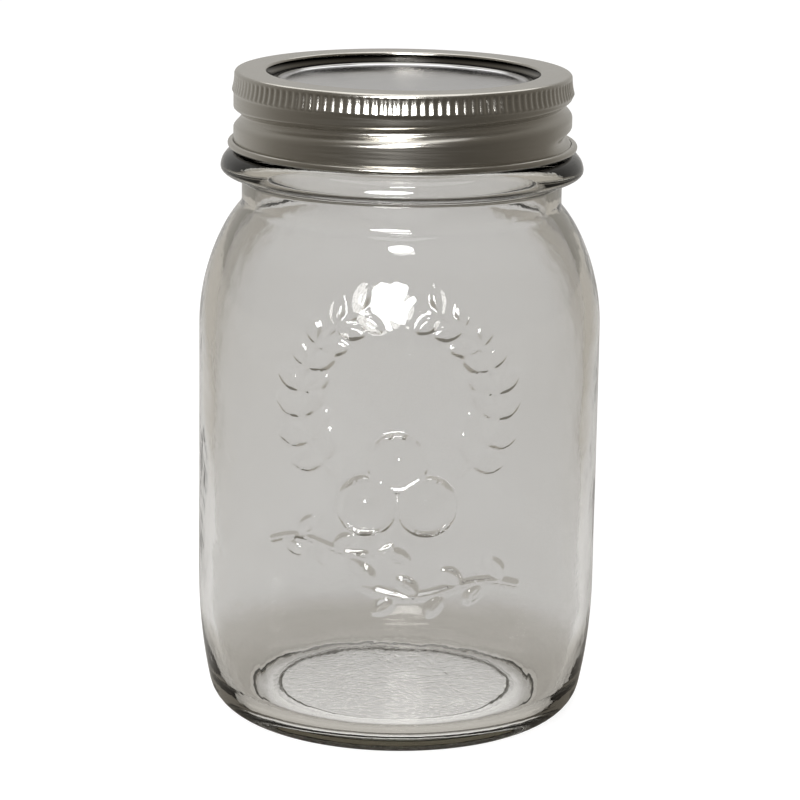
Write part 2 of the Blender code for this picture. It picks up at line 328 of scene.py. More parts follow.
def shoulder_points(wall, steps):
    """Up the shoulder and round the fillet into the neck, moved in by wall."""
    first, second = math.radians(SHOULDER_TURN), math.radians(NECK_TURN)
    neck_r = NECK_RADIUS + NECK_FILLET * (1 - math.cos(second))
    drop = BODY_RADIUS - neck_r - SHOULDER_ARC * (1 - math.cos(first))
    upper_arc = drop / (math.cos(first) - math.cos(second))
    centre_r = BODY_RADIUS - SHOULDER_ARC
    upper_r = centre_r + (SHOULDER_ARC - upper_arc) * math.cos(first)
    upper_z = SHOULDER_START_Z + (SHOULDER_ARC - upper_arc) * math.sin(first)
    fillet_r = NECK_RADIUS + NECK_FILLET
    fillet_z = upper_z + (upper_arc + NECK_FILLET) * math.sin(second)
    points = arc(centre_r, SHOULDER_START_Z, SHOULDER_ARC - wall, 0, SHOULDER_TURN, steps=steps)
    points += arc(upper_r, upper_z, upper_arc - wall, SHOULDER_TURN, NECK_TURN, steps=8)[1:]
    return points + arc(fillet_r, fillet_z, NECK_FILLET + wall, 180 + NECK_TURN, 180, steps=10)[1:]


def jar_outside():
    """The jar's outer section, from the axis under the base up to the crown."""
    heel = heel_points(BODY_RADIUS, LOWER_ARC, LOWER_TURN, HEEL_ARC, 0, corner_steps=20)
    foot_inner = heel[0][0] - FOOT_WIDTH
    panel_z = PUNT_SHELF_Z + PUNT_STEP
    base = dome(PUNT_SHELF_RADIUS - PUNT_STEP, panel_z, PUNT_RISE, steps=12)
    base += arc(PUNT_SHELF_RADIUS, panel_z, PUNT_STEP, 180, 270, steps=8)[1:]
    rim_width = 2 * PUNT_SHELF_Z
    base += arc(foot_inner - rim_width, 0, rim_width, 90, 0, steps=12, radius_z=PUNT_SHELF_Z)
    ring_r = NECK_RADIUS + RING_ROOT
    reach = RING_RADIUS - ring_r
    finish = [(NECK_RADIUS, RING_Z - RING_BELOW - RING_ROOT)]
    finish += arc(ring_r, RING_Z, reach, -90, 0, steps=14, radius_z=RING_BELOW)
    finish += arc(ring_r, RING_Z, reach, 0, 90, steps=18, radius_z=RING_ABOVE)[1:]
    finish.append((FINISH_RADIUS, RING_Z + RING_ABOVE + RING_ROOT))
    crown_r, crown_z = FINISH_RADIUS - CROWN_OUTER_ARC, CROWN_Z - CROWN_OUTER_ARC
    crown = arc(crown_r, crown_z, CROWN_OUTER_ARC, 0, 90, steps=8)
    return base + heel + shoulder_points(0, steps=26) + finish + crown


def jar_inside():
    """The jar's inner section, from the crown down to the axis on its floor."""
    wall_r = BODY_RADIUS - WALL
    lower_arc, lower_turn = INNER_LOWER_ARC, INNER_LOWER_TURN
    inside = heel_points(wall_r, lower_arc, lower_turn, INNER_CORNER_ARC, FLOOR_Z, corner_steps=12)
    floor = dome(inside[0][0], FLOOR_Z, FLOOR_RISE, steps=10)[:-1]
    inside += shoulder_points(WALL, steps=12)
    inside.append((BORE_RADIUS, BORE_START_Z))
    crown_r, crown_z = BORE_RADIUS + CROWN_INNER_ARC, CROWN_Z - CROWN_INNER_ARC
    crown = arc(crown_r, crown_z, CROWN_INNER_ARC, 90, 180, steps=6)
    return crown + inside[::-1] + floor[::-1]


def offset_outline(outline, distance):
    """The outline moved sideways by distance, to the left of its direction."""
    points = np.array(outline)
    ahead = np.roll(points, -1, axis=0) - points
    ahead[-1] = ahead[-2]
    behind = np.roll(ahead, 1, axis=0)
    behind[0] = ahead[0]
    ahead /= np.linalg.norm(ahead, axis=1, keepdims=True)
    behind /= np.linalg.norm(behind, axis=1, keepdims=True)
    normal = ahead + behind
    normal = np.stack([-normal[:, 1], normal[:, 0]], axis=1)
    normal /= np.linalg.norm(normal, axis=1, keepdims=True)
    return [tuple(p) for p in points + normal * distance]


def resample(outline, step_at):
    """The outline with points no further apart than step_at(r, z)."""
    points = [outline[0]]
    for (r0, z0), (r1, z1) in zip(outline, outline[1:]):
        dr, dz = r1 - r0, z1 - z0
        pieces = max(1, math.ceil(math.hypot(dr, dz) / step_at((r0 + r1) / 2, (z0 + z1) / 2)))
        points += [(r0 + dr * i / pieces, z0 + dz * i / pieces) for i in range(1, pieces + 1)]
    return points


# ---------------------------------------------------------------- meshes

def turned_mesh(name, outline, angles, radius_change=None, caps=(None, None), ring=False):
    """A smooth closed mesh of the outline turned about Z, with its faces outward.

    radius_change(r, z, angle) is added to the radii, as whole arrays.
    caps gives the heights of the poles at the outline's two ends. ring joins its ends.
    """
    outline = np.array(outline)
    r = np.repeat(outline[:, :1], len(angles), axis=1)
    z = np.repeat(outline[:, 1:], len(angles), axis=1)
    turn = np.repeat(np.array(angles)[None], len(outline), axis=0)
    if radius_change:
        r = r + radius_change(r, z, turn)
    co = np.stack([r * np.cos(turn), r * np.sin(turn), z], axis=-1).reshape(-1, 3)
    rows, columns = len(outline), len(angles)
    faces = []
    for i in range(rows if ring else rows - 1):
        for j in range(columns):
            low, high = i * columns, (i + 1) % rows * columns
            k = (j + 1) % columns
            faces.append((low + j, low + k, high + k, high + j))
    verts = co.tolist()
    for height, row in zip(caps, (0, rows - 1)):
        if height is None:
            continue
        pole = len(verts)
        verts.append([0.0, 0.0, height])
        for j in range(columns):
            edge = (row * columns + j, row * columns + (j + 1) % columns)
            faces.append((*edge[::-1], pole) if row == 0 else (*edge, pole))
    mesh = bpy.data.meshes.new(name)
    mesh.from_pydata(verts, [], faces)
    bm = bmesh.new()
    bm.from_mesh(mesh)
    bmesh.ops.recalc_face_normals(bm, faces=bm.faces)
    bm.to_mesh(mesh)
    bm.free()
    mesh.shade_smooth()
    mesh.set_sharp_from_angle(angle=SHARP_ANGLE)
    obj = bpy.data.objects.new(name, mesh)
    bpy.context.scene.collection.objects.link(obj)
    return obj


def even_angles(count):
    return [FULL_TURN * i / count for i in range(count)]


def jar_angles():
    """Close together across the relief on the front, wider apart round the rest."""
    fine = round(2 * RELIEF_HALF_ANGLE * BODY_RADIUS / RELIEF_STEP)
    coarse = round((FULL_TURN - 2 * RELIEF_HALF_ANGLE) / COARSE_ANGLE)
    start = FRONT - RELIEF_HALF_ANGLE
    front = [start + 2 * RELIEF_HALF_ANGLE * i / fine for i in range(fine)]
    start = FRONT + RELIEF_HALF_ANGLE
    return front + [start + (FULL_TURN - 2 * RELIEF_HALF_ANGLE) * i / coarse for i in range(coarse)]


# ---------------------------------------------------------------- relief on the glass

def smooth_step(x):
    x = np.clip(x, 0, 1)
    return x * x * (3 - 2 * x)


def bell(x):
    """A smooth bump that is 1 at 0 and fades out by about 2."""
    return np.exp(-x ** 2)


def leaf(u, v, centre, heading, length, width):
    """A pointed leaf: a low dome with a raised rim and a sunk midrib. Heights go from 0 to about 0.7."""
    dome_share, rim_share, midrib_depth = 0.65, 0.45, 0.25
    slope, rim_width, midrib_width = 0.26 * width, 0.13 * width, 0.09 * width
    along = (u - centre[0]) * math.cos(heading) + (v - centre[1]) * math.sin(heading)
    across = -(u - centre[0]) * math.sin(heading) + (v - centre[1]) * math.cos(heading)
    half = width / 2 * np.clip(1 - (2 * along / length) ** 2, 0, 1)
    inside = smooth_step((half - np.abs(across)) / slope)
    rim = bell((np.abs(across) - half) / rim_width) * (half > 0)
    midrib = bell(across / midrib_width) * (half > 0)
    return dome_share * inside + rim_share * rim - midrib_depth * midrib * inside


def berry(u, v, centre, radius):
    """A round berry: a dome with a raised edge and a dimple above its middle. Heights go up to about 0.7."""
    dome_share, rim_share, dimple_depth = 0.6, 0.5, 0.3
    rim_at, rim_width = 0.96, 0.08
    dimple_up, dimple_radius = 0.3 * radius, 0.16 * radius
    away = np.hypot(u - centre[0], v - centre[1]) / radius
    height = np.sqrt(np.clip(1 - away ** 2, 0, 1))
    rim = bell((away - rim_at) / rim_width)
    dimple = bell(np.hypot(u - centre[0], v - centre[1] - dimple_up) / dimple_radius)
    return dome_share * height + rim_share * rim - dimple_depth * dimple


def stroke(u, v, path, width):
    """A round-topped line along the path."""
    height = np.zeros_like(u)
    for (u0, v0), (u1, v1) in zip(path, path[1:]):
        du, dv = u1 - u0, v1 - v0
        share = np.clip(((u - u0) * du + (v - v0) * dv) / (du * du + dv * dv), 0, 1)
        away = np.hypot(u - u0 - share * du, v - v0 - share * dv)
        height = np.maximum(height, bell(away / width))
    return height


def moved_on(point, aim, reach):
    """The place that is reach away from the point in the direction aim."""
    return point[0] + reach * math.cos(aim), point[1] + reach * math.sin(aim)


def wreath_point(share, side):
    """A point of one side's stem, from the bottom opening to the top one, and its heading."""
    span = 180 - WREATH_OPENING - WREATH_TOP_OPENING
    angle = math.radians(-90 + WREATH_OPENING + span * share)
    u = WREATH_HALF_WIDTH * math.cos(angle)
    v = WREATH_CENTRE_Z + WREATH_HALF_HEIGHT * math.sin(angle)
    heading = math.atan2(WREATH_HALF_HEIGHT * math.cos(angle), -WREATH_HALF_WIDTH * math.sin(angle))
    return (side * u, v), heading if side > 0 else math.pi - heading


def wreath_side(u, v, side):
    """Heights of one side of the wreath: its stem, and leaves in pairs that get smaller upward."""
    steps = 40
    stem = [wreath_point(i / steps, side)[0] for i in range(steps + 1)]
    height = STEM_HEIGHT * stroke(u, v, stem, STROKE_WIDTH)
    for pair in range(LEAF_PAIRS):
        root, heading = wreath_point((pair + LEAF_FIRST) / LEAF_PAIRS, side)
        size = 1 - LEAF_SHRINK * pair / LEAF_PAIRS
        for turn in (-1, 1):
            aim = heading + turn * math.radians(LEAF_TURN + LEAF_TURN_CHANGE * (pair % 2))
            centre = moved_on(root, aim, LEAF_REACH * LEAF_LENGTH * size)
            shape = leaf(u, v, centre, aim, LEAF_LENGTH * size, LEAF_WIDTH * size)
            height = np.maximum(height, LEAF_HEIGHT * shape)
    return height


def sprig(u, v, start, end):
    """Heights of a lying stem in one long S-curve, with small leaves on both sides of it."""
    du, dv = end[0] - start[0], end[1] - start[1]

    def stem_point(share):
        bend = SPRIG_RISE * math.sin(FULL_TURN * share)
        return start[0] + du * share, start[1] + dv * share + bend

    steps = 30
    height = SPRIG_STEM * stroke(u, v, [stem_point(i / steps) for i in range(steps + 1)], STROKE_WIDTH)
    for i in range(SPRIG_LEAVES):
        share = (i + SPRIG_FIRST) / SPRIG_LEAVES
        heading = math.atan2(dv + SPRIG_RISE * FULL_TURN * math.cos(FULL_TURN * share), du)
        aim = heading + SPRIG_LEAF_TURN * (1 if i % 2 else -1)
        centre = moved_on(stem_point(share), aim, SPRIG_LEAF_REACH)
        height = np.maximum(height, leaf(u, v, centre, aim, SPRIG_LEAF, SPRIG_LEAF_WIDTH))
    return SPRIG_HEIGHT * height


def relief_height(u, v):
    """Height of the relief at arc length u from the front's middle and height v."""
    height = np.zeros_like(u)
    for side in (-1, 1):
        height = np.maximum(height, wreath_side(u, v, side))
    low_z = WREATH_CENTRE_Z - WREATH_HALF_HEIGHT
    for across, up in BERRY_PLACES:
        centre = (across * BERRY_RADIUS, low_z + up * BERRY_RADIUS)
        height = np.maximum(height, BERRY_HEIGHT * berry(u, v, centre, BERRY_RADIUS))
    for start, end in SPRIGS:
        height = np.maximum(height, sprig(u, v, start, end))
    return height


def thread_height(r, z, angle):
    """The helical ridge round the finish."""
    zero = GROOVE_Z - PITCH + RIDGE_OVER_GROOVE
    turns = (z - zero) / PITCH - angle / FULL_TURN
    along = angle + np.round(turns) * FULL_TURN
    start = (RIDGE_BOTTOM_Z - zero) / PITCH * FULL_TURN
    end = (RIDGE_TOP_Z - zero) / PITCH * FULL_TURN
    fade = smooth_step(np.minimum(along - start, end - along) / RIDGE_FADE)
    away = np.abs(turns - np.round(turns)) * PITCH / RIDGE_ROOT_HALF
    crest = smooth_step((1 - away) / RIDGE_FLANK)
    on_finish = (np.abs(r - FINISH_RADIUS) < RING_ROOT) & (z > RING_Z + RING_ABOVE)
    return (CREST_RADIUS - FINISH_RADIUS) * crest * fade * on_finish


def glass_waves(z, angle, amount, phase):
    """Slow unevenness left by blowing, which bends the reflections."""
    shares = [wave[0] for wave in WAVES]
    waves = [np.sin(lobes * angle + climb * z + follow * phase) for _, lobes, climb, follow in WAVES]
    waves[1] = waves[1] * np.sin(WAVE_SWELL * z + phase)
    return amount * sum(share * wave for share, wave in zip(shares, waves)) / sum(shares)


def ripples(u, v):
    """Crossed waves whose rows wander, from -1 to 1."""
    across_sway, across_rate, across_start = 1.6, 0.61, 0.5
    up_sway, up_rate, up_start = 1.3, 0.7, 2.0
    up_stretch = 0.83
    turn = FULL_TURN / RIPPLE_LENGTH
    across = np.sin(turn * u + across_sway * np.sin(across_rate * turn * v + across_start))
    up = np.sin(up_stretch * turn * v + up_sway * np.sin(up_rate * turn * u + up_start))
    return across * up


def outside_change(r, z, angle):
    """What is added to the outer radius: waves, seams, relief, ripples and thread."""
    from_front = np.mod(angle - FRONT + math.pi, FULL_TURN) - math.pi
    low_fade, high_fade = OUTER_WAVE_FADE
    body = smooth_step((z - HEEL_ARC) / low_fade) * smooth_step((RING_Z - RING_BELOW - z) / high_fade)
    change = glass_waves(z, angle, OUTER_WAVE, OUTER_PHASE) * body
    seam = bell((np.abs(from_front) - math.pi / 2) * BODY_RADIUS / SEAM_WIDTH)
    change = change + SEAM_HEIGHT * seam * body
    near = (np.abs(from_front) < RELIEF_HALF_ANGLE) & (z > RELIEF_LOW) & (z < RELIEF_HIGH)
    relief = np.zeros_like(r)
    relief[near] = relief_height(from_front[near] * BODY_RADIUS, z[near])
    low_fade, high_fade = RIPPLE_FADE
    ends = smooth_step((z - RIPPLE_LOW) / low_fade) * smooth_step((RELIEF_HIGH - z) / high_fade)
    sides = smooth_step((RELIEF_HALF_ANGLE - np.abs(from_front)) / RIPPLE_SIDE_FADE)
    relief = relief + RIPPLE * ripples(from_front * BODY_RADIUS, z) * ends * sides
    return change + relief + thread_height(r, z, angle)


def inside_change(z, angle):
    """What is added to the inner radius: waves of its own."""
    low = smooth_step((z - INNER_WAVE_START) / INNER_WAVE_FADE)
    return glass_waves(z, angle, INNER_WAVE, INNER_PHASE) * low * smooth_step((RING_Z - z) / INNER_WAVE_FADE)


# ---------------------------------------------------------------- materials

def new_material(name):
    material = bpy.data.materials.new(name)
    material.use_nodes = True
    return material, material.node_tree.nodes, material.node_tree.links


def coordinates(nodes, links, scale=(1, 1, 1)):
    """Object coordinates through a Mapping node of the given scale."""
    place = nodes.new("ShaderNodeTexCoord")
    mapping = nodes.new("ShaderNodeMapping")
    mapping.inputs["Scale"].default_value = scale
    links.new(place.outputs["Object"], mapping.inputs["Vector"])
    return mapping.outputs["Vector"]


def noise(nodes, links, vector, scale, detail):
    texture = nodes.new("ShaderNodeTexNoise")
    texture.inputs["Scale"].default_value = scale
    texture.inputs["Detail"].default_value = detail
    links.new(vector, texture.inputs["Vector"])
    return texture.outputs["Fac"]


def spread(nodes, links, value, low, high):
    """A noise value carried to the range low to high."""
    reach = nodes.new("ShaderNodeMapRange")
    ends = {"From Min": NOISE_LOW, "From Max": NOISE_HIGH, "To Min": low, "To Max": high}
    for key, number in ends.items():
        reach.inputs[key].default_value = number
    links.new(value, reach.inputs["Value"])
    return reach.outputs["Result"]


def limit(nodes, links, value, none_at, full_at):
    """0 where the value is at none_at, rising smoothly to 1 at full_at."""
    reach = nodes.new("ShaderNodeMapRange")
    reach.interpolation_type = "SMOOTHSTEP"
    reach.inputs["From Min"].default_value = none_at
    reach.inputs["From Max"].default_value = full_at
    links.new(value, reach.inputs["Value"])
    return reach.outputs["Result"]


def two_tone(nodes, links, factor, tones):
    mix = nodes.new("ShaderNodeMix")
    mix.data_type = "RGBA"
    mix.inputs[6].default_value = (*tones[0], 1)
    mix.inputs[7].default_value = (*tones[1], 1)
    links.new(factor, mix.inputs[0])
    return mix.outputs[2]


def bumped(nodes, links, height, strength, distance):
    bump = nodes.new("ShaderNodeBump")
    bump.inputs["Strength"].default_value = strength
    bump.inputs["Distance"].default_value = distance
    links.new(height, bump.inputs["Height"])
    return bump.outputs["Normal"]


def maths(nodes, links, operation, first, second):
    """One Math node: each operand is a socket or a float."""
    node = nodes.new("ShaderNodeMath")
    node.operation = operation
    for socket, value in zip(node.inputs, (first, second)):
        if isinstance(value, float):
            socket.default_value = value
        else:
            links.new(value, socket)
    return node.outputs[0]


def length_of(nodes, links, vector):
    node = nodes.new("ShaderNodeVectorMath")
    node.operation = "LENGTH"
    links.new(vector, node.inputs[0])
    return node.outputs["Value"]


def colour_ramp(nodes, links, value, stops, interpolation="LINEAR"):
    """The colour of a ramp of (place, colour) stops at the value."""
    ramp = nodes.new("ShaderNodeValToRGB")
    ramp.color_ramp.interpolation = interpolation
    elements = ramp.color_ramp.elements
    elements.remove(elements[1])
    for i, (place, colour) in enumerate(stops):
        stop = elements[0] if i == 0 else elements.new(place)
        stop.position = place
        stop.color = (*colour, 1)
    links.new(value, ramp.inputs[0])
    return ramp.outputs["Color"]


def punt_mask(nodes, links, vector):
    """1 on the pushed-up base inside the foot and below the glass floor, 0 elsewhere."""
    across = length_of(nodes, links, coordinates(nodes, links, (1, 1, 0)))
    split = nodes.new("ShaderNodeSeparateXYZ")
    links.new(vector, split.inputs[0])
    inside = limit(nodes, links, across, *PUNT_GRAIN_EDGE)
    below = limit(nodes, links, split.outputs["Z"], *PUNT_GRAIN_TOP)
    return maths(nodes, links, "MULTIPLY", inside, below)


def glass_material():
    """Clear soda-lime glass: a faint tint, warm grey where thick, a rippled skin and a grainy push-up."""
    material, nodes, links = new_material("jar_glass")
    shader = nodes["Principled BSDF"]
    shader.inputs["Transmission Weight"].default_value = 1.0
    shader.inputs["IOR"].default_value = GLASS_IOR
    vector = coordinates(nodes, links)
    slow = noise(nodes, links, vector, GLASS_TINT_SCALE, 2)
    links.new(two_tone(nodes, links, slow, GLASS_TINTS), shader.inputs["Base Color"])
    skin = noise(nodes, links, vector, SKIN_SCALE, 3)
    punt = punt_mask(nodes, links, vector)
    grain = noise(nodes, links, vector, PUNT_GRAIN_SCALE, 3)
    frosted = maths(nodes, links, "MULTIPLY", spread(nodes, links, grain, *PUNT_ROUGHNESS), punt)
    rough = maths(nodes, links, "ADD", spread(nodes, links, skin, *SKIN_ROUGHNESS), frosted)
    links.new(rough, shader.inputs["Roughness"])
    height = maths(nodes, links, "ADD", skin, maths(nodes, links, "MULTIPLY", grain, punt))
    links.new(bumped(nodes, links, height, *SKIN_BUMP), shader.inputs["Normal"])
    absorb = nodes.new("ShaderNodeVolumeAbsorption")
    absorb.inputs["Color"].default_value = (*ABSORB_COLOR, 1)
    absorb.inputs["Density"].default_value = ABSORB_DENSITY
    links.new(absorb.outputs["Volume"], nodes["Material Output"].inputs["Volume"])
    return material


def tinplate_material(name, tones, roughness, streak):
    """Rolled tinplate: satin, with cloudy patches and faint streaks, squeezed by streak along Z."""
    material, nodes, links = new_material(name)
    shader = nodes["Principled BSDF"]
    shader.inputs["Metallic"].default_value = 1.0
    cloudy = noise(nodes, links, coordinates(nodes, links), CLOUD_SCALE, 4)
    links.new(two_tone(nodes, links, cloudy, tones), shader.inputs["Base Color"])
    streaks = noise(nodes, links, coordinates(nodes, links, (1, 1, streak)), STREAK_SCALE, 5)
    links.new(spread(nodes, links, streaks, *roughness), shader.inputs["Roughness"])
    links.new(bumped(nodes, links, streaks, *STREAK_BUMP), shader.inputs["Normal"])
    return material


def paint_ring_shade(material, shares):
    """Paints shade into a turned piece's colour by its distance from Z, and warms it where it is darker.

    shares are (radius, share of the colour kept), from the axis out.
    """
    nodes, links = material.node_tree.nodes, material.node_tree.links
    colour = nodes["Principled BSDF"].inputs["Base Color"]
    reach = shares[-1][0]
    stops = []
    for radius, kept in shares:
        tone = [kept * (channel + (1 - channel) * kept) for channel in SHADE_WARMTH]
        stops.append((radius / reach, tone))
    from_axis = length_of(nodes, links, coordinates(nodes, links, (1, 1, 0)))
    tones = colour_ramp(nodes, links, maths(nodes, links, "DIVIDE", from_axis, reach), stops)
    shade = nodes.new("ShaderNodeMix")
    shade.data_type = "RGBA"
    shade.blend_type = "MULTIPLY"
    shade.inputs[0].default_value = 1.0
    links.new(colour.links[0].from_socket, shade.inputs[6])
    links.new(tones, shade.inputs[7])
    links.new(shade.outputs[2], colour)


def compound_material():
    """Matt sealing compound with a fine moulded grain."""
    material, nodes, links = new_material("seal_compound")
    shader = nodes["Principled BSDF"]
    grain = noise(nodes, links, coordinates(nodes, links), SEAL_GRAIN_SCALE, 4)
    links.new(two_tone(nodes, links, grain, SEAL_TONES), shader.inputs["Base Color"])
    links.new(spread(nodes, links, grain, *SEAL_ROUGHNESS), shader.inputs["Roughness"])
    links.new(bumped(nodes, links, grain, *SEAL_BUMP), shader.inputs["Normal"])
    return material


# ---------------------------------------------------------------- pieces

def finish_piece(obj, material, body, node):
    obj.data.materials.append(material)
    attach(obj, body)
    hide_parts(node)
    return obj


def make_glass():
    def outer_step(r, z):
        if RELIEF_LOW < z < RELIEF_HIGH and r > NECK_RADIUS:
            return RELIEF_STEP
        return COARSE_STEP / 2 if z > RING_Z else COARSE_STEP

    outside = resample(jar_outside(), outer_step)
    inside = resample(jar_inside(), lambda r, z: 2 * COARSE_STEP)
    outer_rows = len(outside)

    def change(r, z, angle):
        moved = np.zeros_like(r)
        moved[:outer_rows] = outside_change(r[:outer_rows], z[:outer_rows], angle[:outer_rows])
        moved[outer_rows:] = inside_change(z[outer_rows:], angle[outer_rows:])
        return moved

    poles = (PUNT_SHELF_Z + PUNT_STEP + PUNT_RISE, FLOOR_Z + FLOOR_RISE)
    obj = turned_mesh("jar_glass", outside + inside, jar_angles(), change, caps=poles)
    return finish_piece(obj, glass_material(), "jar", "glass_jar")


def groove_cut(z, angle):
    """Depth of the thread's groove rolled into the band's wall."""
    turns = (z - GROOVE_Z) / PITCH - angle / FULL_TURN
    along = angle + np.round(turns) * FULL_TURN
    fade = smooth_step(np.minimum(along - GROOVE_END, GROOVE_START - along) / GROOVE_FADE)
    offset = (turns - np.round(turns)) * PITCH
    away = np.clip(np.maximum(offset / GROOVE_ABOVE, -offset / GROOVE_BELOW), 0, 1)
    return GROOVE_DEPTH * fade * np.cos(away * math.pi / 2) ** 2


def rib_cut(z, angle):
    """Narrow valleys between the grip ribs, a little uneven round the band and worn on one side."""
    ends = smooth_step((z - RIB_BOTTOM_Z) / RIB_END) * smooth_step((RIB_TOP_Z - z) / RIB_END)
    uneven = 0.85 + 0.15 * np.sin(5 * angle + 0.6) + 0.12 * np.sin(17 * angle)
    worn = 1 - RIB_WEAR * bell((np.mod(angle, FULL_TURN) - math.pi) / RIB_WEAR_ANGLE)
    return RIB_DEPTH * ends * uneven * worn * np.abs(np.cos(RIBS * angle / 2)) ** 4


def band_section():
    """The middle of the band's sheet, from its opening over the top and down to the curled lip."""
    top_z = BAND_HIGH.z - SHEET / 2
    opening_r = OPENING_RADIUS + OPENING_ARC + SHEET / 2
    section = arc(opening_r, top_z - OPENING_ARC, OPENING_ARC, 180, 90, steps=6)
    section += arc(SKIRT_TOP_RADIUS - SKIRT_ARC, top_z - SKIRT_ARC, SKIRT_ARC, 90, 0, steps=8)
    skirt_height = top_z - SKIRT_ARC - SKIRT_BOTTOM_Z
    flare = SKIRT_RADIUS - SKIRT_TOP_RADIUS
    for i in range(1, SKIRT_STEPS + 1):
        share = i / SKIRT_STEPS
        section.append((SKIRT_TOP_RADIUS + flare * share ** 2, SKIRT_BOTTOM_Z + skirt_height * (1 - share)))
    section += [(BAND_RADIUS, SKIRT_BOTTOM_Z - SKIRT_TAPER), (BAND_RADIUS, LIP_Z + SHEET)]
    return section + arc(BAND_RADIUS + LIP_ARC, LIP_Z, LIP_ARC, 180, 180 + LIP_TURN, steps=18)


def make_band():
    wall_from = SKIRT_TOP_RADIUS - SKIRT_ARC
    middle = band_section()
    fine = resample(middle, lambda r, z: BAND_STEP if r > wall_from else 3 * BAND_STEP)
    outer = offset_outline(fine, SHEET / 2)
    inner = offset_outline(resample(middle, lambda r, z: 3 * BAND_STEP), -SHEET / 2)

    def change(r, z, angle):
        under_skirt = smooth_step((SKIRT_BOTTOM_Z - z) / GROOVE_HIGH_FADE)
        wall_zone = smooth_step((z - GROOVE_LOW) / GROOVE_LOW_FADE) * under_skirt
        return -(groove_cut(z, angle) * wall_zone + rib_cut(z, angle)) * (r > wall_from)

    angles = even_angles(RIBS * RIB_COLUMNS)
    obj = turned_mesh("band_tinplate", outer + inner[::-1], angles, change, ring=True)
    material = tinplate_material("band_tinplate", BAND_TONES, BAND_ROUGHNESS, BAND_STREAK)
    return finish_piece(obj, material, "band", "screw_band")


def disc_section():
    """The middle of the disc's sheet, from its centre panel up the steps and round the curled rim."""
    ledge_z, panel_z = DISC_RIM_Z - LEDGE_DROP, DISC_RIM_Z - PANEL_DROP
    middle = [(DISC_START, panel_z), (PANEL_RADIUS, panel_z), (LEDGE_INNER, ledge_z), (LEDGE_OUTER, ledge_z)]
    middle.append((LEDGE_OUTER + STEP_WIDTH, DISC_RIM_Z))
    middle += arc(DISC_RADIUS - DISC_CURL, DISC_RIM_Z - DISC_CURL, DISC_CURL, 90, 0, steps=8)
    middle.append((DISC_RADIUS, DISC_RIM_Z - 2 * DISC_CURL))
    middle = resample(middle, lambda r, z: PANEL_STEP if r < PANEL_RADIUS - 2 * MM else DISC_STEP)
    bead_r = (LEDGE_INNER + LEDGE_OUTER) / 2
    return [(r, z + DISC_BEAD_HEIGHT * float(bell((r - bead_r) / DISC_BEAD_HALF))) for r, z in middle]


def make_disc():
    middle = disc_section()
    top, under = offset_outline(middle, DISC_SHEET / 2), offset_outline(middle, -DISC_SHEET / 2)
    panel_z = DISC_RIM_Z - PANEL_DROP
    poles = (panel_z - DISC_SHEET / 2, panel_z + DISC_SHEET / 2)
    obj = turned_mesh("disc_tinplate", under + top[::-1], even_angles(180), caps=poles)
    material = tinplate_material("disc_tinplate", DISC_TONES, DISC_ROUGHNESS, DISC_STREAK)
    # Painted shade: the steps past the panel darker and warmer, and the rim under the band's flange near
    # black.
    paint_ring_shade(material, DISC_SHADE_SHARES)
    return finish_piece(obj, material, "lid", "lid_disc")


def make_seal():
    outer_r = SEAL_HIGH.x
    low, top = SEAL_LOW.z, SEAL_HIGH.z
    outline = [(SEAL_INNER, top)]
    outline += arc(SEAL_INNER + SEAL_CORNER, low + SEAL_CORNER, SEAL_CORNER, 180, 270, steps=5)
    outline += arc(outer_r - SEAL_CORNER, low + SEAL_CORNER, SEAL_CORNER, 270, 360, steps=5)
    outline.append((outer_r, top))
    obj = turned_mesh("seal_compound", outline, even_angles(160), ring=True)
    return finish_piece(obj, compound_material(), "lid", "sealing_ring")


# ---------------------------------------------------------------- stage, light and camera

def studio_tones(nodes, links, place, tones):
    """The studio's tone in the direction of place, a vector from the jar."""
    level = nodes.new("ShaderNodeVectorMath")
    level.operation = "NORMALIZE"
    links.new(place, level.inputs[0])
    toward = nodes.new("ShaderNodeVectorMath")
    toward.operation = "DOT_PRODUCT"
    toward.inputs[1].default_value = BRIGHT_SIDE
    links.new(level.outputs["Vector"], toward.inputs[0])
    reach = nodes.new("ShaderNodeMapRange")
    reach.inputs["From Min"].default_value = -1
    reach.inputs["From Max"].default_value = 1
    links.new(toward.outputs["Value"], reach.inputs["Value"])
    return colour_ramp(nodes, links, reach.outputs[0], tones, interpolation="B_SPLINE")


def floor_shade(nodes, links, place):
    """1 on the floor that glass bends in as SHADE_TONE, 0 where it stays pale."""
    split = nodes.new("ShaderNodeSeparateXYZ")
    links.new(place, split.inputs[0])
    aside = maths(nodes, links, "ABSOLUTE", split.outputs["X"], 0.0)
    ahead = maths(nodes, links, "MULTIPLY", split.outputs["Y"], -1.0)
    sweep = limit(nodes, links, maths(nodes, links, "MAXIMUM", aside, ahead), *SWEEP_EDGE)
    away = length_of(nodes, links, place)
    beyond_foot = limit(nodes, links, away, *FOOT_SHADE_INNER)
    near_foot = limit(nodes, links, away, *FOOT_SHADE_OUTER)
    ring = maths(nodes, links, "MULTIPLY", beyond_foot, near_foot)
    ring = maths(nodes, links, "MULTIPLY", ring, FOOT_SHADE)
    return maths(nodes, links, "MAXIMUM", sweep, ring)


